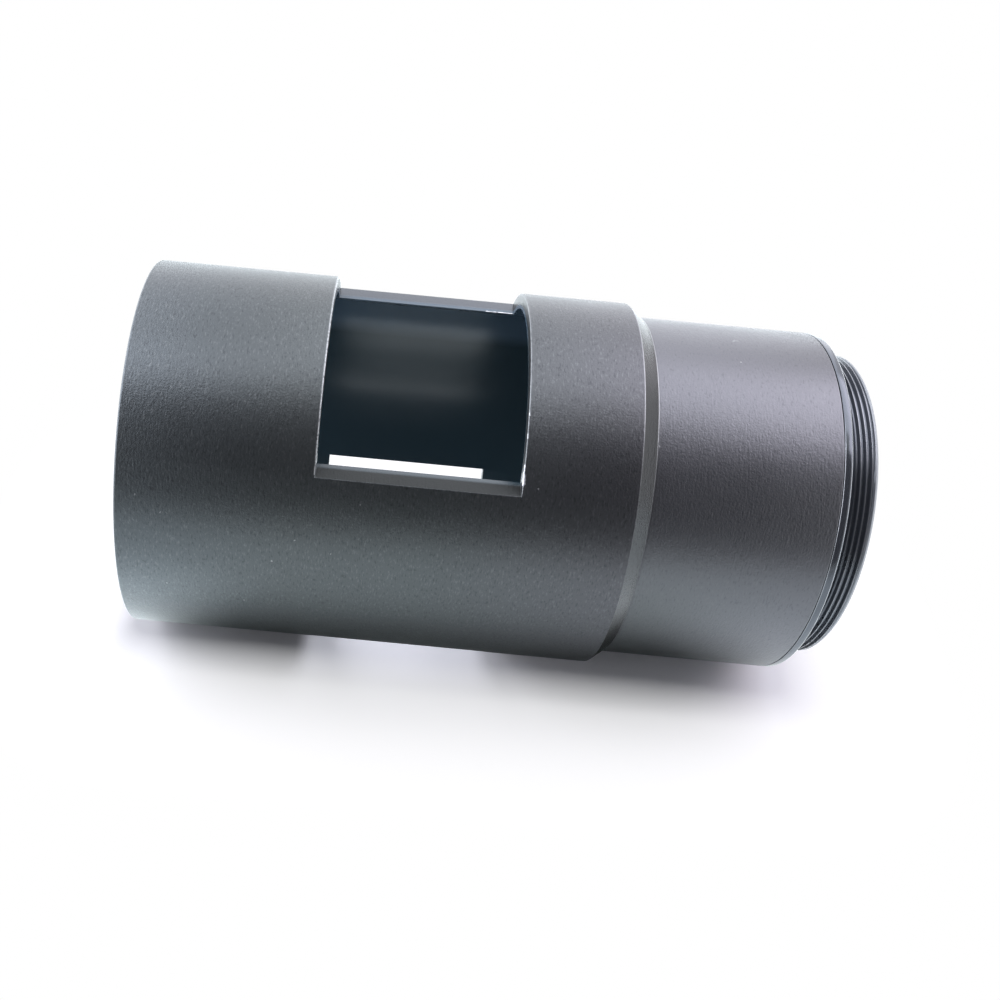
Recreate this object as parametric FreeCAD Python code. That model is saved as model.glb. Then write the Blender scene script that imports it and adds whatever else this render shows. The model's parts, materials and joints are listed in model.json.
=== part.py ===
"""A telescope coupling adapter: a stepped black tube with two finger windows and a threaded ring in its neck.

The wide end stands on z = 0 and the axis is +Z. The windows face -Y and +Y. All sizes are in millimetres.
"""
import FreeCAD, Part
import math
import os

from FreeCAD import Vector

# Diameters, from the camera thread outwards
thread_diameter = 43.0        # crests of the male thread
camera_seat_width = 2.75      # of the flange's face outside the thread
shoulder_rise = 1.75          # from the neck up to the body
neck_diameter = thread_diameter + 2 * camera_seat_width
body_diameter = neck_diameter + 2 * shoulder_rise

# Sleeve, outside
body_length = 65.4            # from the wide end to the shoulder's bevel
shoulder_length = 2.2         # of the bevel, along the axis
sleeve_length = 91.1          # from the wide end to the neck's face
rim_bevel = 0.3               # on the wide end's outer edge
neck_bevel = 0.15             # on the neck's outer edge, beside the seam

# Sleeve, inside
body_wall = 2.1
neck_wall = 1.95
step_setback = 3.0            # from the shoulder's bevel back to the step between the two bores
step_bevel = 0.5              # on the step's inner edge
coupling_length = 7.0         # of the female thread in the wide end
coupling_wall = 1.9           # outside the crests of that thread
relief_width = 1.4            # of the run-out groove past that thread
relief_depth = 0.55           # of that groove, below the crests
mouth_bevel = 0.5             # lead-in at the wide end

# Finger windows
window_start = 25.1           # from the wide end
window_length = 25.8
window_depth = 10.45          # from the body's outside to each milled plane
window_bevel = 0.12           # the broken edge round each window

# Threaded ring
flange_thickness = 1.2
flange_seam_bevel = 0.15
flange_front_bevel = 0.35
thread_length = 3.6
thread_end_bevel = 0.35
groove_width = 0.9            # of the run-out groove between flange and male thread
groove_depth = 0.7            # of that groove, below the crests
ring_wall = 1.3               # between that groove and the ring's bore
ring_bore_bevel = 0.5
tail_length = 5.0             # of the part that is screwed into the neck
tail_bevel = 0.4

# Ring seat in the neck
seat_wall = 1.25              # outside the tail
seat_clearance = 0.04         # all round the tail
seat_end_room = 0.8           # past the tail's end

body_radius = body_diameter / 2
neck_radius = neck_diameter / 2
body_bore_radius = body_radius - body_wall
neck_bore_radius = neck_radius - neck_wall
shoulder_end = body_length + shoulder_length
step_z = body_length - step_setback
seat_radius = neck_radius - seat_wall
seat_z = sleeve_length - tail_length - seat_end_room
tail_radius = seat_radius - seat_clearance
window_plane = body_radius - window_depth
full_turn = 360


def turned(profile):
    """A solid of revolution about Z from a closed outline of (radius, height) points."""
    corners = [Vector(radius, 0, height) for radius, height in profile]
    outline = Part.makePolygon(corners + corners[:1])
    return Part.Face(outline).revolve(Vector(0, 0, 0), Vector(0, 0, 1), full_turn)


def sleeve_blank():
    """The tube as turned: rim, body, bevelled shoulder and neck outside; ring seat, two bores and coupling inside."""
    coupling_radius = body_radius - coupling_wall
    relief_radius = coupling_radius + relief_depth
    relief_end = coupling_length + relief_width
    outside = [
        (body_radius - rim_bevel, 0),
        (body_radius, rim_bevel),
        (body_radius, body_length),
        (neck_radius, shoulder_end),
        (neck_radius, sleeve_length - neck_bevel),
        (neck_radius - neck_bevel, sleeve_length),
    ]
    inside = [
        (seat_radius, sleeve_length),
        (seat_radius, seat_z),
        (neck_bore_radius, seat_z),
        (neck_bore_radius, step_z + step_bevel),
        (neck_bore_radius + step_bevel, step_z),
        (body_bore_radius, step_z),
        (body_bore_radius, relief_end),
        (relief_radius, relief_end),
        (relief_radius, coupling_length),
        (coupling_radius, coupling_length),
        (coupling_radius, mouth_bevel),
        (coupling_radius + mouth_bevel, 0),
    ]
    return turned(outside + inside)


def window_cutter(side):
    """What the mill takes away on one side: all beyond a plane parallel to the axis. side is -1 or +1 along Y."""
    cut_depth = body_radius
    low_y = window_plane if side > 0 else -window_plane - cut_depth
    corner = Vector(-body_diameter, low_y, window_start)
    return Part.makeBox(2 * body_diameter, cut_depth, window_length, corner)


def window_rim(solid):
    """The edges where the windows' walls meet the outside of the body."""
    window_end = window_start + window_length
    slack = window_bevel / 2
    rim = []
    for edge in solid.Edges:
        ends = [vertex.Point for vertex in edge.Vertexes]
        beside_window = all(window_start - slack < point.z < window_end + slack for point in ends)
        on_outside = all(abs(math.hypot(point.x, point.y) - body_radius) < slack for point in ends)
        if beside_window and on_outside:
            rim.append(edge)
    return rim


def make_sleeve():
    solid = sleeve_blank()
    for side in (-1, 1):
        solid = solid.cut(window_cutter(side))
    return solid.makeChamfer(window_bevel, window_rim(solid)).Solids[0]


def make_thread_ring():
    """Tail, flange, run-out groove and thread crests in one turned piece, seated on the neck's face."""
    tail_end = sleeve_length - tail_length
    flange_front = sleeve_length + flange_thickness
    thread_start = flange_front + groove_width
    nose = thread_start + thread_length
    thread_radius = thread_diameter / 2
    groove_radius = thread_radius - groove_depth
    bore_radius = groove_radius - ring_wall
    outside = [
        (tail_radius - tail_bevel, tail_end),
        (tail_radius, tail_end + tail_bevel),
        (tail_radius, sleeve_length),
        (neck_radius - flange_seam_bevel, sleeve_length),
        (neck_radius, sleeve_length + flange_seam_bevel),
        (neck_radius, flange_front - flange_front_bevel),
        (neck_radius - flange_front_bevel, flange_front),
        (groove_radius, flange_front),
        (groove_radius, thread_start),
        (thread_radius, thread_start),
        (thread_radius, nose - thread_end_bevel),
        (thread_radius - thread_end_bevel, nose),
    ]
    inside = [
        (bore_radius + ring_bore_bevel, nose),
        (bore_radius, nose - ring_bore_bevel),
        (bore_radius, tail_end + ring_bore_bevel),
        (bore_radius + ring_bore_bevel, tail_end),
    ]
    return turned(outside + inside)


def main():
    os.makedirs("parts", exist_ok=True)
    pieces = {"sleeve": make_sleeve(), "thread_ring": make_thread_ring()}
    for name, shape in pieces.items():
        shape.exportStep(os.path.join("parts", name + ".step"))
        box = shape.BoundBox
        print(name, shape.ShapeType, "valid", shape.isValid(), "volume", round(shape.Volume, 1),
              "from z", round(box.ZMin, 3), "to", round(box.ZMax, 3), "across", round(box.XLength, 3))


main()
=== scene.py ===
"""The telescope coupling adapter as it looks: a black tube with finger windows, nicks and a threaded ring.

Lengths are in metres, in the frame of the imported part: +Z along the tube, the wide end on z = 0, the windows
at -Y and +Y.
"""
import json
import math

import bpy
import bmesh
import numpy as np
from mathutils import Matrix, Vector


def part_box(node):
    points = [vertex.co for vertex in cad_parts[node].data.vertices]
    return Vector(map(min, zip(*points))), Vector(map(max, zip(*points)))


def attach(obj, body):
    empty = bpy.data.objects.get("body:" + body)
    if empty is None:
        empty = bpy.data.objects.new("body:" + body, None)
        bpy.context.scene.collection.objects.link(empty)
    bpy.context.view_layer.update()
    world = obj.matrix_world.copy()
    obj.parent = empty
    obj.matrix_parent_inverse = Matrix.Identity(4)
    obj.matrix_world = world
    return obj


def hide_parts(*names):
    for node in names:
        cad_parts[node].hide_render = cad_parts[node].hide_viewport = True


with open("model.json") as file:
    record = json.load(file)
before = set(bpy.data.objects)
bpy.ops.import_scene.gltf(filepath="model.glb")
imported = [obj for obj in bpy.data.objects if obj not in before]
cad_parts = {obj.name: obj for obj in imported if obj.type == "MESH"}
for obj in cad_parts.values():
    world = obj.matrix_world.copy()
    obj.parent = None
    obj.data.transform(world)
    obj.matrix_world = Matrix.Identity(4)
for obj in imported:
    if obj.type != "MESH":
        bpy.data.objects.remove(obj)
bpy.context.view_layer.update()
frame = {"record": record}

mm = 0.001
full_turn = 2 * math.pi
quarter_turn = math.pi / 2

# Sizes read from the frame
mount_radius = {m["name"]: m["dims"].get("r_mm", 0) * mm for m in frame["record"]["mounts"]}
sleeve_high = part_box("sleeve")[1]
ring_low, ring_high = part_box("thread_ring")
body_radius = sleeve_high.x
neck_radius = ring_high.x
sleeve_length = sleeve_high.z
tail_end = ring_low.z
nose = ring_high.z
bore_radius = mount_radius["eyepiece_bore"]
coupling_radius = mount_radius["scope_thread"]
thread_radius = mount_radius["camera_thread"]

# Sizes repeated from the part's source
body_length = 65.4 * mm
shoulder_end = 67.6 * mm
step_z = 62.4 * mm
step_bevel = 0.5 * mm
neck_bore_radius = 22.3 * mm
seat_radius = 23.0 * mm
seat_z = 85.3 * mm
coupling_length = 7.0 * mm
relief_end = 8.4 * mm
relief_radius = 24.65 * mm
mouth_bevel = 0.5 * mm
window_start = 25.1 * mm
window_end = 50.9 * mm
window_plane = 15.55 * mm
flange_front = 92.3 * mm
thread_start = 93.2 * mm
groove_radius = 20.8 * mm
ring_bore_radius = 19.5 * mm
tail_radius = 22.96 * mm

# Edge breaks and threads
rim_round = 0.3 * mm
shoulder_round = 0.12 * mm
seam_round = 0.1 * mm
seam_gap = 0.12 * mm
seam_depth = 0.3 * mm
window_round = 0.16 * mm
window_inner_round = 0.09 * mm
flange_round = 0.35 * mm
ring_round = 0.4 * mm
inner_round = 0.12 * mm
pitch = 0.75 * mm
thread_depth = 0.42 * mm
crest_share = 1 / 8           # of the pitch
flank_share = 5 / 16          # of the pitch, for each flank; the root takes the rest
nose_bevel = 0.35 * mm
plain_nose = 0.5 * mm
thread_fade = 0.3 * mm

# Mesh resolution
arc_steps = 96
stave_steps = 72
window_rows = 8
round_steps = 5
ring_columns = 360
rows_per_flank = 3
merge_distance = 1e-8
smooth_below = math.radians(32)


# Surfaces


def rounded(corners):
    """An outline of (radius, height, rounding) corners, each rounding an arc tangent to both sides."""
    points = []
    count = len(corners)
    for i, (radius, height, rounding) in enumerate(corners):
        here = np.array([radius, height])
        if not rounding or i in (0, count - 1):
            points.append(here[None])
            continue
        back = np.array(corners[i - 1][:2]) - here
        ahead = np.array(corners[i + 1][:2]) - here
        back, ahead = back / np.linalg.norm(back), ahead / np.linalg.norm(ahead)
        half = math.acos(np.clip(back @ ahead, -1, 1)) / 2
        reach = rounding / math.tan(half)
        centre = here + (back + ahead) / np.linalg.norm(back + ahead) * rounding / math.sin(half)
        start, end = here + back * reach - centre, here + ahead * reach - centre
        share = np.linspace(0, 1, round_steps + 1)[:, None]
        swing = math.pi - 2 * half
        arc = (np.sin((1 - share) * swing) * start + np.sin(share * swing) * end) / math.sin(swing)
        points.append(centre + arc)
    return np.concatenate(points)


def turned(outline, angles):
    """The outline carried round Z: point (i, j) is outline point i turned to angle j."""
    radius, height = outline[:, :1], outline[:, 1:]
    return polar(radius, angles[None], height)


def polar(radius, angle, height):
    """Points at a radius, an angle about Z and a height, all broadcast together."""
    radius, angle, height = np.broadcast_arrays(radius, angle, height)
    return np.stack([radius * np.cos(angle), radius * np.sin(angle), height], -1)


def thread_wave(height, angle):
    """Share of the thread's depth on a right-handed helix: 0 on the crest, 1 in the root."""
    place = np.mod(height / pitch - angle / full_turn, 1)
    down = (place - crest_share) / flank_share
    up = (1 - place) / flank_share
    return np.clip(np.minimum(down, up), 0, 1)


def helix_rows(low, high, angles):
    """Heights whose rows follow the helix between two levels, with a row on each edge of crest and root."""
    stops = np.array([0, crest_share, crest_share + flank_share, 1 - flank_share, 1])
    share = np.arange(rows_per_flank) / rows_per_flank
    turn = (stops[:-1, None] + np.diff(stops)[:, None] * share).ravel()
    first, last = math.floor(low / pitch) - 1, math.ceil(high / pitch) + 1
    rows = (np.arange(first, last)[:, None] + turn).ravel() * pitch
    return np.clip(rows[:, None] + angles[None] / full_turn * pitch, low, high)


class Skin:
    """Collects grids of points and makes one closed mesh of them."""

    def __init__(self):
        self.points, self.faces, self.total = [], [], 0

    def add(self, grid):
        """Adds a (rows, columns, 3) grid as quads."""
        rows, columns = grid.shape[:2]
        index = np.arange(rows * columns).reshape(rows, columns) + self.total
        quads = np.stack([index[:-1, :-1], index[:-1, 1:], index[1:, 1:], index[1:, :-1]], -1)
        self.points.append(grid.reshape(-1, 3))
        self.faces.append(quads.reshape(-1, 4))
        self.total += rows * columns

    def make(self, name):
        """Merges the grids where they meet, turns faces outwards and keeps edges over smooth_below sharp."""
        mesh = bpy.data.meshes.new(name)
        mesh.from_pydata(np.concatenate(self.points), [], np.concatenate(self.faces))
        work = bmesh.new()
        work.from_mesh(mesh)
        bmesh.ops.remove_doubles(work, verts=work.verts, dist=merge_distance)
        bmesh.ops.dissolve_degenerate(work, edges=work.edges, dist=merge_distance)
        bmesh.ops.recalc_face_normals(work, faces=work.faces)
        work.to_mesh(mesh)
        work.free()
        mesh.polygons.foreach_set("use_smooth", np.ones(len(mesh.polygons), bool))
        mesh.set_sharp_from_angle(angle=smooth_below)
        piece = bpy.data.objects.new(name, mesh)
        bpy.context.scene.collection.objects.link(piece)
        return piece


# Sleeve


def window_half_angle(radius, spread=0.0):
    """Half the angle that a window takes at a radius, its milled walls set back by spread."""
    return math.acos(window_plane / radius) + spread / radius


def round_the_tube(half_angle):
    """Column angles: window arc, stave, window arc, stave, starting at the edge of the window at -Y."""
    first, second = -quarter_turn, quarter_turn
    stops = [
        (first - half_angle, first + half_angle, arc_steps),
        (first + half_angle, second - half_angle, stave_steps),
        (second - half_angle, second + half_angle, arc_steps),
        (second + half_angle, first - half_angle + full_turn, stave_steps),
    ]
    return np.concatenate([np.linspace(a, b, n + 1)[:-1] for a, b, n in stops] + [[stops[-1][1]]])


def staves(skin, radius, spread, angles):
    """The two stretches of wall between the windows, one grid each."""
    heights = np.linspace(window_start - spread, window_end + spread, window_rows + 1)[:, None]
    for first in (arc_steps, 2 * arc_steps + stave_steps):
        columns = angles[None, first:first + stave_steps + 1]
        skin.add(polar(radius, columns, heights))


def window_loop(centre, radius, spread):
    """A closed loop round a window at a radius, standing back from its walls by spread."""
    half = window_half_angle(radius, spread)
    low, high = window_start - spread, window_end + spread
    across = np.linspace(-half, half, arc_steps + 1)
    up = np.linspace(low, high, window_rows + 1)
    angle = np.concatenate([across[:-1], np.full(window_rows, half),
                            across[:0:-1], np.full(window_rows + 1, -half)])
    height = np.concatenate([np.full(arc_steps, low), up[:-1], np.full(arc_steps, high), up[::-1]])
    return polar(radius, centre + angle, height)


def window_walls(skin, centre):
    """Rounded outer edge, milled wall and rounded inner edge of one window, as loops one inside the other."""
    swing = np.linspace(0, quarter_turn, round_steps + 1)
    outer = [(body_radius - window_round * (1 - math.cos(q)), window_round * (1 - math.sin(q)))
             for q in swing]
    inner = [(bore_radius + window_inner_round * (1 - math.sin(q)), window_inner_round * (1 - math.cos(q)))
             for q in swing]
    skin.add(np.stack([window_loop(centre, radius, spread) for radius, spread in outer + inner]))


def make_sleeve():
    skin = Skin()
    outer_angles = round_the_tube(window_half_angle(body_radius, window_round))
    inner_angles = round_the_tube(window_half_angle(bore_radius, window_inner_round))
    low_outside = rounded([
        (coupling_radius + mouth_bevel, 0, 0),
        (body_radius, 0, rim_round),
        (body_radius, window_start - window_round, 0),
    ])
    high_outside = rounded([
        (body_radius, window_end + window_round, 0),
        (body_radius, body_length, shoulder_round),
        (neck_radius, shoulder_end, shoulder_round),
        (neck_radius, sleeve_length, seam_round),
        (seat_radius, sleeve_length, 0),
    ])
    high_inside = rounded([
        (seat_radius, sleeve_length, 0),
        (seat_radius, seat_z, 0),
        (neck_bore_radius, seat_z, inner_round),
        (neck_bore_radius, step_z + step_bevel, inner_round),
        (neck_bore_radius + step_bevel, step_z, inner_round),
        (bore_radius, step_z, 0),
        (bore_radius, window_end + window_inner_round, 0),
    ])
    low_inside = rounded([
        (bore_radius, window_start - window_inner_round, 0),
        (bore_radius, relief_end, inner_round),
        (relief_radius, relief_end, 0),
        (relief_radius, coupling_length, 0),
        (coupling_radius, coupling_length, 0),
    ])
    mouth = np.array([(coupling_radius, mouth_bevel), (coupling_radius + mouth_bevel, 0)])
    skin.add(turned(low_outside[1:], outer_angles))
    skin.add(turned(high_outside[:-1], outer_angles))
    skin.add(turned(high_inside, inner_angles))
    skin.add(turned(low_inside, inner_angles))
    skin.add(turned(mouth, inner_angles))
    for inner, outer in ((low_outside[0], low_outside[1]), (high_outside[-1], high_outside[-2])):
        skin.add(np.stack([polar(inner[0], inner_angles, inner[1]), polar(outer[0], outer_angles, outer[1])]))
    heights = helix_rows(mouth_bevel, coupling_length, inner_angles)
    from_ends = np.minimum(heights - mouth_bevel, coupling_length - heights)
    fade = np.clip(from_ends / thread_fade, 0, 1)
    depth = thread_depth * fade * thread_wave(heights, inner_angles[None])
    skin.add(polar(coupling_radius + depth, inner_angles[None], heights))
    staves(skin, body_radius, window_round, outer_angles)
    staves(skin, bore_radius, window_inner_round, inner_angles)
    for centre in (-quarter_turn, quarter_turn):
        window_walls(skin, centre)
    return skin.make("sleeve_body")


# Threaded ring


def make_thread_ring():
    skin = Skin()
    angles = np.linspace(0, full_turn, ring_columns + 1)
    back = rounded([
        (ring_bore_radius, nose - ring_round, 0),
        (ring_bore_radius, tail_end, ring_round),
        (tail_radius, tail_end, ring_round),
        (tail_radius, sleeve_length, 0),
        (neck_radius - seam_depth, sleeve_length, 0),
        (neck_radius - seam_depth, sleeve_length + seam_gap, 0),
        (neck_radius, sleeve_length + seam_gap, seam_round),
        (neck_radius, flange_front, flange_round),
        (groove_radius, flange_front, inner_round),
        (groove_radius, thread_start, 0),
    ])
    front = rounded([
        (thread_radius - nose_bevel, nose, 0),
        (ring_bore_radius, nose, ring_round),
        (ring_bore_radius, nose - ring_round, 0),
    ])
    heights = helix_rows(thread_start, nose, angles)
    fade = np.clip((nose - plain_nose - heights) / thread_fade, 0, 1)
    crests = thread_radius - thread_depth * fade * thread_wave(heights, angles[None])
    run_out = groove_radius + (heights - thread_start)
    lead_in = thread_radius - nose_bevel + (nose - heights)
    radius = np.minimum(np.minimum(crests, run_out), lead_in)
    skin.add(turned(back, angles))
    skin.add(polar(radius, angles[None], heights))
    skin.add(turned(front, angles))
    return skin.make("ring_body")


# Shader maths


class Wire:
    """A shader socket that arithmetic works on: each operator adds a Math node."""

    def __init__(self, paint, socket):
        self.paint, self.socket = paint, socket

    def math(self, operation, *others):
        return self.paint.node("ShaderNodeMath", {"operation": operation}, self, *others)

    def __add__(self, other):
        return self.math("ADD", other)

    __radd__ = __add__

    def __mul__(self, other):
        return self.math("MULTIPLY", other)

    __rmul__ = __mul__

    def __sub__(self, other):
        return self.math("SUBTRACT", other)

    def __rsub__(self, other):
        return self.paint.node("ShaderNodeMath", {"operation": "SUBTRACT"}, other, self)

    def __truediv__(self, other):
        return self.math("DIVIDE", other)

    def __abs__(self):
        return self.math("ABSOLUTE")

    def __gt__(self, other):
        return self.math("GREATER_THAN", other)

    def __lt__(self, other):
        return self.math("LESS_THAN", other)

    def power(self, other):
        return self.math("POWER", other)

    def smaller(self, other):
        return self.math("MINIMUM", other)

    def larger(self, other):
        return self.math("MAXIMUM", other)

    def clamped(self):
        return self.larger(0.0).smaller(1.0)

    def between(self, low, high):
        """0 below low, 1 above high, straight between them."""
        return ((self - low) / (high - low)).clamped()

    def near(self, level, reach):
        """1 at level, falling to 0 at reach from it."""
        return (1.0 - abs(self - level) / reach).clamped()

    def spanning(self, low, high, soft):
        """1 between low and high, falling to 0 over soft inside both of them."""
        return self.between(low, low + soft) * (1.0 - self.between(high - soft, high))


class Paint:
    """One material's node tree."""

    def __init__(self, tree):
        self.tree = tree
        self.tree.nodes.clear()

    def node(self, kind, settings, *values, output=0, **named):
        """Adds a node with its settings and its inputs, in order or by name, and gives one output."""
        new = self.tree.nodes.new(kind)
        for name, value in settings.items():
            setattr(new, name, value)
        pairs = list(zip(new.inputs, values))
        pairs += [(new.inputs[name.replace("_", " ")], value) for name, value in named.items()]
        for socket, value in pairs:
            self.feed(socket, value)
        return Wire(self, new.outputs[output]) if new.outputs else None

    def feed(self, socket, value):
        """Gives a socket its value: a link from a Wire, or a plain number or colour."""
        if isinstance(value, Wire):
            self.tree.links.new(value.socket, socket)
        else:
            socket.default_value = value

    def place(self):
        """Object coordinates, in metres."""
        return self.node("ShaderNodeTexCoord", {}, output="Object")

    def parts(self, vector):
        """The three numbers of a vector."""
        split = self.node("ShaderNodeSeparateXYZ", {}, vector)
        return [Wire(self, socket) for socket in split.socket.node.outputs]

    def vector(self, x, y, z):
        return self.node("ShaderNodeCombineXYZ", {}, x, y, z)

    def noise(self, where, scale, detail=2.0, roughness=0.5):
        return self.node("ShaderNodeTexNoise", {}, Vector=where, Scale=scale, Detail=detail,
                         Roughness=roughness)

    def stretched(self, where, factors):
        return self.node("ShaderNodeVectorMath", {"operation": "MULTIPLY"}, where, factors)

    def distance(self, where, point):
        return self.node("ShaderNodeVectorMath", {"operation": "DISTANCE"}, where, point, output="Value")

    def dot(self, first, second):
        return self.node("ShaderNodeVectorMath", {"operation": "DOT_PRODUCT"}, first, second, output="Value")

    def centred_colour(self, where, scale):
        """Three noises, one a direction and each centred on 0, for pushing places about."""
        colour = self.node("ShaderNodeTexNoise", {}, Vector=where, Scale=scale, output="Color")
        return self.node("ShaderNodeVectorMath", {"operation": "SUBTRACT"}, colour, (0.5, 0.5, 0.5))

    def mix(self, share, first, second):
        """Two colours mixed."""
        new = self.tree.nodes.new("ShaderNodeMix")
        new.data_type = "RGBA"
        ends = {"Factor_Float": share, "A_Color": first, "B_Color": second}
        for socket in new.inputs:
            if socket.identifier in ends:
                self.feed(socket, ends[socket.identifier])
        return Wire(self, next(socket for socket in new.outputs if socket.identifier == "Result_Color"))

    def bump(self, height, distance, strength=1.0):
        return self.node("ShaderNodeBump", {}, Height=height, Distance=distance, Strength=strength)

    def finish(self, shader):
        self.node("ShaderNodeOutputMaterial", {}, shader)


def new_material(name):
    material = bpy.data.materials.new(name)
    material.use_nodes = True
    return material, Paint(material.node_tree)


# Materials

# Colours of the finish. The dyed outside is drawn as a dark metal, so these are what it mirrors head-on.
wide_end_shine = (0.083, 0.093, 0.100, 1)
body_shine = (0.083, 0.0915, 0.0945, 1)
body_violet = (0.089, 0.090, 0.098, 1)
neck_shine = (0.119, 0.121, 0.133, 1)
# Painted shade for the neck's foot on the floor's side
neck_foot_painted_shade = (0.104, 0.110, 0.115, 1)
shoulder_shine = (0.074, 0.077, 0.080, 1)
# The windows' cut faces are one milled finish: painted shade on the near one, painted light on the far one
near_cut_painted_shade = (0.031, 0.033, 0.033, 1)
far_cut_painted_light = (0.096, 0.103, 0.113, 1)
light_fleck = (0.180, 0.190, 0.195, 1)
dark_pit = (0.045, 0.048, 0.053, 1)
inside_dye = (0.022, 0.040, 0.050, 1)
# Painted reflection: a lighter band on the inside's far wall under the window's edge
inside_painted_reflection = (0.058, 0.094, 0.128, 1)
ring_shine = (0.098, 0.108, 0.124, 1)
# Bare metal for wear, also used for painted highlights on edges
bare_metal_and_highlight = (0.72, 0.74, 0.77, 1)
raw_burr = (0.93, 0.95, 1.0, 1)
dust_grey = (0.30, 0.31, 0.31, 1)
ring_metal = 0.75
oxide_ior = 1.6

# Where one colour of the sleeve turns into the next
blue_until = (4 * mm, 22 * mm)             # heights, from the wide end's tone to the body's
violet_from = (40 * mm, 66 * mm)           # heights, from the body's tone to the more violet one
foot_until = (shoulder_end + 3 * mm, shoulder_end + 20 * mm)
foot_side = (-0.6 * neck_radius, 0.0)      # along Y: painted shade makes the neck's foot darker on the floor's side
inside_below = 24.3 * mm                   # radius
inside_reflection_from = (6 * mm, 9 * mm)              # along -Y, on the inside, where a painted reflection lightens the far wall
zone_blend = 0.3 * mm
thin_blend = 0.2 * mm
face_blend = 0.1 * mm
cut_face_reach = (0.02 * mm, 0.06 * mm)    # off a window's milled plane

# Grain of the sleeve: noise scales, and how the noise is drawn out into lines round the tube
line_scale, line_stretch = 3600.0, (0.22, 0.22, 1.0)
fleck_scale, fleck_stretch = 4600.0, (0.35, 0.35, 1.0)
pit_scale = 3800.0
cloud_scale = 120.0
jag_scale = 2600.0
ragged_scale, ragged_reach = 2400.0, 0.25 * mm
grain_roughness = 0.6
line_share = pit_share = 0.5               # of the grain
grain_depth = 0.055 * mm
inside_grain = 0.2                         # of the grain's depth outside
light_fleck_from, light_fleck_share = (0.6, 0.7), 0.25
dark_fleck_until, dark_fleck_share = (0.3, 0.4), 0.5
neck_fleck_loss = 0.5

# Roughness of the sleeve
outside_roughness = 0.32
inside_roughness = 0.17
cloud_roughness = pit_roughness = 0.05
shoulder_polish = 0.14

# Worn edges of the windows, and painted highlights along the shoulder's and the neck end's edges: how far from
# the edge the light catches it, and how bare it is
window_wear_width = 0.26 * mm
shoulder_highlight_width = 0.13 * mm
neck_edge_highlight_width = 0.15 * mm
window_start_wear = 0.6
window_end_wear = 0.12
shoulder_highlight_share = 0.28
neck_edge_highlight_share = 0.2
wear_gaps = (0.25, 0.5)                    # of the noise that breaks the bare line up
wear_shell = (body_radius - 0.35 * mm, body_radius - 0.25 * mm)
# Along X: the shoulder's painted highlight is left off this side
shaded_side = (0.5 * body_radius, 0.8 * body_radius)

# Chips, nicks and specks on the sleeve. An end or a place is (radius, degrees round Z, height), all in mm.
corner_chips = [((25.6, -42.8, 50.9), (25.7, -40.6, 50.92), 0.25),
                ((25.8, -45.2, 50.92), (25.7, -42.8, 50.92), 0.14)]
bare_nicks = [((23.92, -139.4, 46.9), (23.92, -139.4, 50.7), 0.1, 0.9),
              ((26.0, -60.0, 50.98), (26.0, -59.5, 51.05), 0.07, 0.4),
              ((26.0, -54.0, 50.95), (26.0, -53.0, 51.0), 0.07, 0.4),
              ((24.25, -55.3, 67.75), (24.25, -54.9, 67.85), 0.05, 0.4)]
neck_crescent = [((24.25, -100.3, 78.75), (24.25, -101.4, 78.95), 0.10),
                 ((24.25, -101.4, 78.95), (24.25, -101.2, 79.4), 0.09)]
dust_specks = [((26.0, -10.3, 20.4), 0.16), ((26.0, -18.0, 23.2), 0.14), ((26.0, -27.3, 2.8), 0.12),
               ((26.0, 2.5, 6.6), 0.12), ((26.0, -22.7, 6.0), 0.11), ((26.0, -30.3, 31.1), 0.11),
               ((26.0, 7.4, 16.8), 0.13), ((24.25, -88.6, 78.8), 0.13), ((26.0, -39.3, 52.9), 0.13),
               ((26.0, -14.6, 27.9), 0.10)]
dust_share = 0.6
crescent_share = 0.35

# Finish of the ring
ring_line_scale, ring_line_stretch = 5000.0, (0.05, 0.05, 1.0)
ring_cloud_scale = 150.0
ring_line_depth, ring_line_strength = 0.004 * mm, 0.5
crest_band = (thread_radius - 0.09 * mm, thread_radius - 0.02 * mm)
flange_band = (neck_radius - 0.4 * mm, neck_radius - 0.3 * mm)
lit_side = (0.35 * neck_radius, 0.5 * neck_radius)
# Painted highlights on the flange's rim edges, the seam's edge only towards +X; the crests and the nose are
# bare from wear and also lightened as painted highlights
seam_glint, edge_glint, edge_setback = 0.12 * mm, 0.14 * mm, 0.12 * mm
crest_wear_and_highlight, rim_highlight, nose_wear_and_highlight = 0.2, 0.45, 0.28
ring_mark_gaps = (0.2, 0.45)
ring_roughness, ring_cloud_roughness, thread_roughness, nose_roughness = 0.12, 0.08, 0.12, 0.2


def on_the_tube(radius, degrees, height):
    """A point given by its radius, its angle round Z and its height in mm."""
    turn = math.radians(degrees)
    return Vector((radius * math.cos(turn), radius * math.sin(turn), height)) * mm


def largest(masks):
    """The largest of several masks."""
    top, *others = masks
    for mask in others:
        top = top.larger(mask)
    return top


def scratch_mask(paint, where, start, end, width):
    """1 within width of the line from start to end, falling to 0 at twice that."""
    start, end = on_the_tube(*start), on_the_tube(*end)
    along = end - start
    offset = paint.node("ShaderNodeVectorMath", {"operation": "SUBTRACT"}, where, start)
    reach = paint.dot(offset, along / along.length_squared).clamped()
    foot = paint.node("ShaderNodeVectorMath", {"operation": "SCALE"}, along, Scale=reach)
    away = paint.distance(offset, foot)
    return (2.0 - away / (width * mm)).clamped()


def speck_mask(paint, where, place, size):
    """1 at the place, falling to 0 at size from it."""
    return (1.0 - paint.distance(where, on_the_tube(*place)) / (size * mm)).clamped()


def window_edge_distance(y, z):
    """Distance out from a window's edge, seen square on: below 0 within the window."""
    across = window_plane - abs(y)
    along = abs(z - (window_start + window_end) / 2) - (window_end - window_start) / 2
    return across.larger(along)


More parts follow.
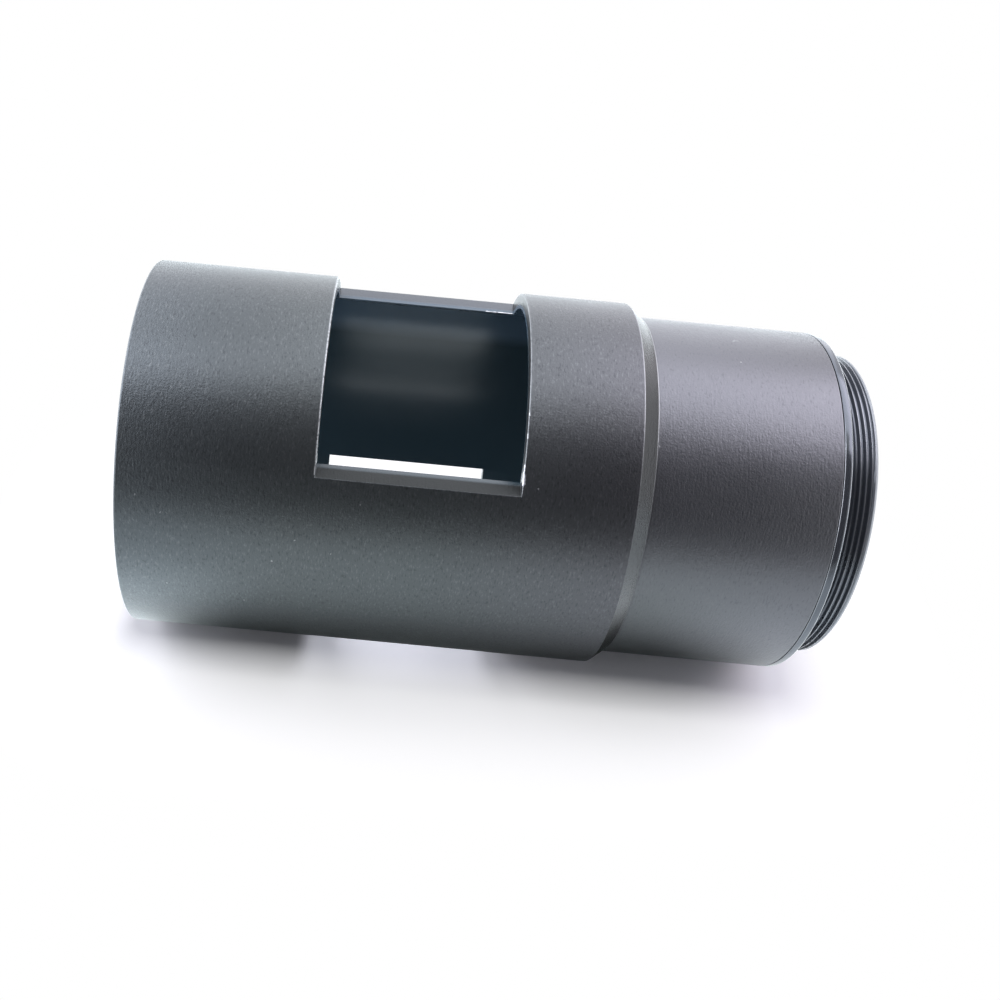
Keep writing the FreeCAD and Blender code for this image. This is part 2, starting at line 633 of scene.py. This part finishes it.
def edge_wear_and_highlight(place, radius, outside, jag):
    """How bare the windows' edges are from wear, with painted highlights along the shoulder's edges, kept off
    the +X side, and along the edge of the neck's face.
    """
    x, y, z = place
    beside_window = window_edge_distance(y, z).near(0.0, window_wear_width)
    at_window = beside_window * radius.between(*wear_shell) * jag.between(*wear_gaps)
    on_ends = 1.0 - (window_plane + window_wear_width - abs(y)).between(0.0, face_blend)
    far_end = z > (window_start + window_end) / 2
    window_share = window_start_wear - far_end * (window_start_wear - window_end_wear)
    # Painted highlights: the shoulder's edges, off the +X side, and the neck end's edge
    at_shoulder = z.near(body_length, shoulder_highlight_width).larger(z.near(shoulder_end, shoulder_highlight_width))
    off_camera_side = 1.0 - x.between(*shaded_side)
    at_neck = z.near(sleeve_length, neck_edge_highlight_width) * outside
    return largest([at_window * on_ends * window_share, at_shoulder * off_camera_side * shoulder_highlight_share,
                    at_neck * neck_edge_highlight_share])


def sleeve_colour(paint, place, neck, shoulder, outside, flecks):
    """Colour of the sleeve before wear: dyed tones along the tube, cut faces, shoulder, flecks and inside,
    with painted shade on the near cut face and the neck's foot, painted light on the far cut face and a
    painted reflection inside.
    """
    x, y, z = place
    body = paint.mix(z.between(*blue_until), wide_end_shine, body_shine)
    body = paint.mix(z.between(*violet_from), body, body_violet)
    # Painted shade: the neck's foot is darker on the floor's side, next to the shoulder
    foot = (1.0 - z.between(*foot_until)) * y.between(*foot_side)
    turned_finish = paint.mix(neck, body, paint.mix(foot, neck_shine, neck_foot_painted_shade))
    off_plane = abs(window_plane - abs(y)).between(*cut_face_reach)
    cut_face = (1.0 - off_plane) * z.spanning(window_start, window_end, face_blend)
    # Painted shade on the cut face towards +X, painted light on the one towards -X
    finish = paint.mix(cut_face, turned_finish, paint.mix(x > 0.0, far_cut_painted_light, near_cut_painted_shade))
    finish = paint.mix(shoulder, finish, shoulder_shine)
    speckled = (1.0 - neck * neck_fleck_loss) * (1.0 - cut_face) * (1.0 - shoulder)
    light = flecks.between(*light_fleck_from) * speckled * light_fleck_share
    dark = (1.0 - flecks.between(*dark_fleck_until)) * speckled * dark_fleck_share
    finish = paint.mix(dark, paint.mix(light, finish, light_fleck), dark_pit)
    # A painted reflection: a lighter band on the inside wall towards -Y and -X
    inside_reflection = (0.0 - y).between(*inside_reflection_from) * (x < 0.0)
    return paint.mix(outside, paint.mix(inside_reflection, inside_dye, inside_painted_reflection), finish)


def anodised_sleeve():
    """Black anodising: short turning lines round the tube, smoother inside, with wear at the windows' edges
    and nicks, and painted highlights on the shoulder's and the neck end's edges.
    """
    material, paint = new_material("black_anodised_sleeve")
    where = paint.place()
    place = x, y, z = paint.parts(where)
    radius = (x * x + y * y).power(0.5)
    past_step = z.between(step_z + step_bevel, step_z + step_bevel + thin_blend)
    on_neck = past_step * radius.between(seat_radius, seat_radius + zone_blend)
    outside = radius.between(inside_below, inside_below + zone_blend).larger(on_neck)
    neck = z.between(shoulder_end, shoulder_end + zone_blend)
    shoulder = z.spanning(body_length, shoulder_end, face_blend)

    lines = paint.noise(paint.stretched(where, line_stretch), line_scale, roughness=grain_roughness)
    pits = paint.noise(where, pit_scale, roughness=grain_roughness)
    grain = lines * line_share + pits * pit_share
    clouds = paint.noise(where, cloud_scale, detail=3.0)
    flecks = paint.noise(paint.stretched(where, fleck_stretch), fleck_scale, detail=1.0)
    jag = paint.noise(where, jag_scale)
    ragged = paint.stretched(paint.centred_colour(where, ragged_scale), (ragged_reach,) * 3)
    rough_where = paint.node("ShaderNodeVectorMath", {"operation": "ADD"}, where, ragged)

    nicks = [scratch_mask(paint, rough_where, start, end, width) * share
             for start, end, width, share in bare_nicks]
    # Bare metal where the windows' edges and the nicks have wear, and as painted highlights on the shoulder's
    # and the neck end's edges
    wear_and_highlight = largest([edge_wear_and_highlight(place, radius, outside, jag)] + nicks)
    raw = largest([scratch_mask(paint, rough_where, *chip) for chip in corner_chips])
    specks = largest([speck_mask(paint, rough_where, *speck) for speck in dust_specks])
    crescent = largest([scratch_mask(paint, rough_where, *line) for line in neck_crescent])
    dust = (specks * 2.0).clamped().larger(crescent * crescent_share)

    finish = sleeve_colour(paint, place, neck, shoulder, outside, flecks)
    dusty = paint.mix(dust * dust_share, paint.mix(wear_and_highlight, finish, bare_metal_and_highlight), dust_grey)
    colour = paint.mix(raw, dusty, raw_burr)
    metal = outside.larger(wear_and_highlight) * (1.0 - raw.larger(dust))
    roughness = (outside * (outside_roughness - inside_roughness) + inside_roughness
                 + clouds * cloud_roughness + pits * pit_roughness - shoulder * shoulder_polish)
    normal = paint.bump((grain - 0.5) * (inside_grain + outside * (1 - inside_grain)), grain_depth)
    shader = paint.node("ShaderNodeBsdfPrincipled", {}, Base_Color=colour, Roughness=roughness,
                        Metallic=metal, IOR=oxide_ior, Normal=normal)
    paint.finish(shader)
    return material


def anodised_ring():
    """Black anodising over a turned surface: glossier than the sleeve, with crests and a nose bare from wear
    and also lightened as painted highlights, and painted highlights on the flange's rim edges.
    """
    material, paint = new_material("black_anodised_ring")
    where = paint.place()
    x, y, z = paint.parts(where)
    radius = (x * x + y * y).power(0.5)
    lines = paint.noise(paint.stretched(where, ring_line_stretch), ring_line_scale)
    clouds = paint.noise(where, ring_cloud_scale)
    threaded = z.between(thread_start, thread_start + thin_blend)
    at_nose = z.between(nose - plain_nose, nose - plain_nose + face_blend)
    crests = radius.between(*crest_band) * threaded * (1.0 - at_nose)
    seam = z.near(sleeve_length + seam_gap, seam_glint) * x.between(*lit_side)
    front_edge = z.near(flange_front - edge_setback, edge_glint)
    rim = seam.larger(front_edge) * radius.between(*flange_band)
    # Bare from wear and as painted highlight on the crests and the nose, painted highlight on the flange's rim
    # edges
    wear_and_highlight = (crests * crest_wear_and_highlight).larger(rim * rim_highlight) * clouds.between(*ring_mark_gaps)
    colour = paint.mix(wear_and_highlight.larger(at_nose * nose_wear_and_highlight), ring_shine, bare_metal_and_highlight)
    roughness = (ring_roughness + clouds * ring_cloud_roughness + threaded * thread_roughness
                 + at_nose * nose_roughness)
    normal = paint.bump(lines, ring_line_depth, ring_line_strength)
    shader = paint.node("ShaderNodeBsdfPrincipled", {}, Base_Color=colour, Roughness=roughness,
                        Metallic=ring_metal, IOR=oxide_ior, Normal=normal)
    paint.finish(shader)
    return material


# Camera: the photograph's viewing angle on the tube, which lies on its side in the picture

camera_place = Vector((124.32, -112.54, 31.32)) * mm
camera_turn = math.radians(42.65)
camera_tip = math.radians(0.18)
camera_lean = math.radians(5.405)
camera_lens = 40.95
camera_shift = (0.147, 0.065)
camera_reach = (0.001, 20.0)


def make_camera():
    """Looks square to the tube's axis, with +Z to the right of the picture and leaning a little down."""
    data = bpy.data.cameras.new("camera")
    data.lens = camera_lens
    data.shift_x, data.shift_y = camera_shift
    data.clip_start, data.clip_end = camera_reach
    camera = bpy.data.objects.new("camera", data)
    bpy.context.scene.collection.objects.link(camera)
    level = math.cos(camera_tip)
    back = Vector((math.sin(camera_turn) * level, -math.cos(camera_turn) * level, math.sin(camera_tip)))
    along = (Vector((0, 0, 1)) - back * back.z).normalized()
    right = along * math.cos(camera_lean) + back.cross(along) * math.sin(camera_lean)
    axes = Matrix((right, back.cross(right), back)).transposed()
    camera.matrix_world = Matrix.Translation(camera_place) @ axes.to_4x4()
    bpy.context.scene.camera = camera


# Stage: the tube lies on a pale floor whose plane is y = body_radius, so up in the picture's room is -Y

floor_size = 3.0
floor_white = 0.86            # for scattered light
floor_seen = 1.25             # for what the camera or a reflection sees
floor_tint = (0.99, 0.985, 1.0)
# In reflections the floor is painted a greener tint than it shows directly
mirrored_tint = (0.93, 1.0, 0.945)
# Seen directly, the floor fades into plain white away from the tube, painted light over the shadow there, in
# two steps of (from, to, share)
fade_from = 13 * mm
fade_steps = ((1.5 * mm, 9 * mm, 0.6), (9 * mm, 30 * mm, 0.4))
# Directly seen, a painted shadow makes it darker where the tube stands on it, at both sides of the window
under_reach = (2 * mm, 9 * mm)
under_left_until = (window_start - 2 * mm, window_start + 1 * mm)
under_right_from = (window_end - 1 * mm, window_end + 4 * mm)
under_left_shade, under_right_shade = 0.5, 0.25
# In near reflections a painted shade makes it darker beside the tube
contact_shade = 0.8
shade_reach = (6 * mm, 30 * mm)
shade_from, shade_until = (-8 * mm, 12 * mm), (78 * mm, 100 * mm)
near_ray = (28 * mm, 48 * mm)
# In reflections painted light makes it lighter past the tube's ends and, a little, behind the tube
left_end_light, right_end_light = 1.7, 0.6
end_light_aside = (10 * mm, 60 * mm)
left_light_until, right_light_from = (-2 * mm, 15 * mm), (80 * mm, 98 * mm)
behind_light = 0.15


def add_sheet(name, corners, faces, material):
    """A mesh of the room, which isn't part of the object."""
    mesh = bpy.data.meshes.new(name)
    mesh.from_pydata(corners, [], faces)
    mesh.materials.append(material)
    sheet = bpy.data.objects.new(name, mesh)
    bpy.context.scene.collection.objects.link(sheet)
    return sheet


def seen_directly(paint):
    """1 for what the camera, a reflection or a view through glass sees, 0 for scattered light."""
    path = paint.node("ShaderNodeLightPath", {})
    camera, glossy, through = (Wire(paint, path.socket.node.outputs[name])
                               for name in ("Is Camera Ray", "Is Glossy Ray", "Is Transmission Ray"))
    return camera.larger(glossy).larger(through)


def make_floor():
    """A pale one-sided plane under the lying tube, with painted shadow and painted light in what the camera
    and reflections see, which fades into plain white away from it.
    """
    material, paint = new_material("pale_floor")
    behind = paint.node("ShaderNodeNewGeometry", {}, output="Backfacing")
    glossy, camera, ray = (paint.node("ShaderNodeLightPath", {}, output=name)
                           for name in ("Is Glossy Ray", "Is Camera Ray", "Ray Length"))
    x, _, z = paint.parts(paint.place())
    aside = (abs(x) - fade_from).larger(0.0)
    beyond = (abs(z - nose / 2) - nose / 2).larger(0.0)
    away = (aside * aside + beyond * beyond).power(0.5)
    in_front = x > 0.0

    # Painted shade in near reflections beside the tube
    beside = in_front * (1.0 - away.between(*shade_reach))
    middle = z.between(*shade_from) * (1.0 - z.between(*shade_until))
    contact = glossy * beside * middle * (1.0 - ray.between(*near_ray)) * contact_shade
    # Painted shadow, seen directly, where the tube stands
    under = ((1.0 - z.between(*under_left_until)) * under_left_shade
             + z.between(*under_right_from) * under_right_shade)
    shade = (1.0 - contact) * (1.0 - camera * under * (1.0 - away.between(*under_reach)))

    # Painted light in reflections past the ends and behind the tube
    past_ends = ((1.0 - z.between(*left_light_until)) * left_end_light
                 + z.between(*right_light_from) * right_end_light)
    wide = in_front * (1.0 - away.between(*end_light_aside))
    bright = 1.0 + glossy * (wide * past_ends + (x < 0.0) * behind_light)

    level = (seen_directly(paint) * (floor_seen - floor_white) + floor_white) * shade * bright
    channels = [level * (shown + glossy * (mirrored - shown))
                for shown, mirrored in zip(floor_tint, mirrored_tint)]
    pale = paint.node("ShaderNodeBsdfDiffuse", {}, paint.vector(*channels))
    clear = paint.node("ShaderNodeBsdfTransparent", {})
    white = paint.node("ShaderNodeEmission", {}, (1, 1, 1, 1), 1.0)
    fade = sum(away.between(low, high) * share for low, high, share in fade_steps)
    shown = paint.node("ShaderNodeMixShader", {}, fade * camera, pale, white)
    paint.finish(paint.node("ShaderNodeMixShader", {}, behind, shown, clear))
    half = floor_size / 2
    square = ((-half, -half), (half, -half), (half, half), (-half, half))
    corners = [(across, body_radius, along) for across, along in square]
    add_sheet("floor", corners, [(0, 1, 2, 3)], material)


# Lamps: soft panels over the tube, behind it and off both of its ends. A dark card bent round the camera's
# side keeps reflections there dark.

panel_height = 0.8
panel_far = -0.8
zenith_start = -0.2
panel_ends = {"left": (-1.2, -0.35), "inner_left": (-0.35, 0.05), "inner_right": (0.05, 0.45),
              "right": (0.45, 1.3)}
zenith_edge = {"left": 0.25, "inner_left": 0.17, "inner_right": 0.0, "right": 0.18}
zenith_level = {"left": 4.0, "inner_left": 1.7, "inner_right": 2.1, "right": 3.0}
overhead_level = {"left": 3.2, "inner_left": 0.7, "inner_right": 2.4, "right": 3.6}
back_level = {"left": 2.6, "inner_left": 1.2, "inner_right": 1.5, "right": 0.6}
end_level = {"left": 4.5, "right": 0.25}
cool_lamp, violet_lamp = (0.99, 1.0, 1.10), (1.06, 1.0, 1.12)
lamp_tint = {"left": cool_lamp, "inner_left": cool_lamp, "inner_right": cool_lamp, "right": violet_lamp}
card_radius = 0.75
card_reach = (-0.4, 0.6)
card_from, card_to = math.radians(12), math.radians(86)
card_columns = 24
card_grey = 0.1
sky_fill = 0.05
sky_tint = (0.95, 0.98, 1.0, 1)


def make_panel(name, low, high, along, facing, level, tint):
    """A soft panel between two corners, its long side and its face each along one way, by brightness."""
    low, high, along, back = Vector(low), Vector(high), Vector(along), -Vector(facing)
    across = back.cross(along)
    data = bpy.data.lights.new(name, "AREA")
    data.shape = "RECTANGLE"
    data.size, data.size_y = abs((high - low).dot(along)), abs((high - low).dot(across))
    data.energy = level * math.pi * data.size * data.size_y
    data.color = tint
    panel = bpy.data.objects.new(name, data)
    axes = Matrix((along, across, back)).transposed()
    panel.matrix_world = Matrix.Translation((low + high) / 2) @ axes.to_4x4()
    panel.visible_camera = False
    bpy.context.scene.collection.objects.link(panel)


def make_lamps():
    down, forward, right, left = (0, 1, 0), (1, 0, 0), (0, 0, 1), (0, 0, -1)
    top = -panel_height
    for side, (start, end) in panel_ends.items():
        tint = lamp_tint[side]
        make_panel("zenith_" + side, (zenith_start, top, start), (zenith_edge[side], top, end), right, down,
                   zenith_level[side], tint)
        make_panel("overhead_" + side, (panel_far, top, start), (zenith_start, top, end), right, down,
                   overhead_level[side], tint)
        make_panel("back_" + side, (panel_far, 0, start), (panel_far, top, end), right, forward,
                   back_level[side], tint)
    far_left, far_right = panel_ends["left"][0], panel_ends["right"][1]
    for side, far, inwards in (("left", far_left, right), ("right", far_right, left)):
        make_panel("end_" + side, (panel_far, 0, far), (-panel_far, top, far), forward, inwards,
                   end_level[side], lamp_tint[side])


def make_card():
    """A dark card bent round the tube's axis on the camera's side, from near the floor to near the top."""
    material, paint = new_material("dark_card")
    paint.finish(paint.node("ShaderNodeBsdfDiffuse", {}, (card_grey, card_grey, card_grey, 1)))
    turns = np.linspace(card_from, card_to, card_columns) - quarter_turn
    points = polar(card_radius, turns[None], np.array(card_reach)[:, None]).reshape(-1, 3)
    first = np.arange(card_columns - 1)
    faces = np.stack([first, first + 1, first + 1 + card_columns, first + card_columns], -1)
    card = add_sheet("dark_card", points, faces, material)
    card.visible_camera = card.visible_diffuse = card.visible_shadow = False


def make_world():
    """White where it is seen; an even fill for scattered light."""
    world = bpy.data.worlds.new("studio")
    world.use_nodes = True
    bpy.context.scene.world = world
    paint = Paint(world.node_tree)
    white = paint.node("ShaderNodeBackground", {}, (1, 1, 1, 1), 1.0)
    fill = paint.node("ShaderNodeBackground", {}, sky_tint, sky_fill)
    both = paint.node("ShaderNodeMixShader", {}, seen_directly(paint), fill, white)
    paint.node("ShaderNodeOutputWorld", {}, both)


make_camera()
make_floor()
make_card()
make_world()
make_lamps()

bpy.context.scene.view_settings.view_transform = "Standard"

sleeve = make_sleeve()
ring = make_thread_ring()
for piece, node, slot, material in ((sleeve, "sleeve", "sleeve_anodised", anodised_sleeve()),
                                    (ring, "thread_ring", "ring_anodised", anodised_ring())):
    piece.data.materials.append(material)
    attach(piece, "root")
    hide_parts(node)
